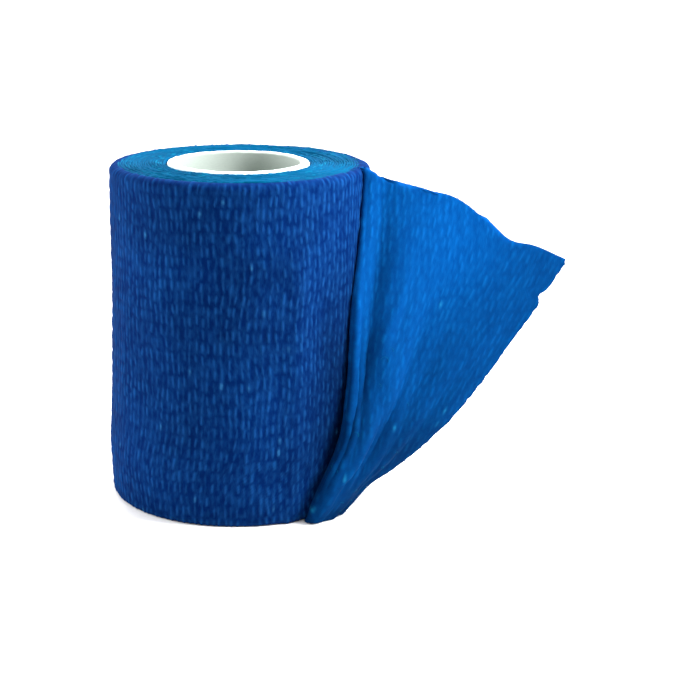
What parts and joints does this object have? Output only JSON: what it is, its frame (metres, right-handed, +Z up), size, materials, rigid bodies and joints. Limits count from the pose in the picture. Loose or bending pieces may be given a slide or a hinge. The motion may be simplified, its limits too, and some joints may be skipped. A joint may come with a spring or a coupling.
{
  "type": "cohesive bandage roll",
  "caption": "Crepe cohesive bandage wound on a paper core, standing on its end with the free end peeled back to show a fanned, slanting cut edge.",
  "frame": {"origin": "on the surface that the roll stands on, under the middle of the whole part's box", "axes": "+Z up along the roll's axis, +X towards the free end's upper corner, +Y away from the front, where the peeled inner face of the free end shows"},
  "size_m": [0.1012, 0.0581, 0.0757],
  "materials": {
    "crepe": "matt crinkled crepe with fine ribs across the strip, slightly fuzzy edges",
    "core_paper": "matt off-white paper tube"
  },
  "bodies": {
    "root": {"bandage": "crepe", "core": "core_paper"}
  },
  "joints": []
}
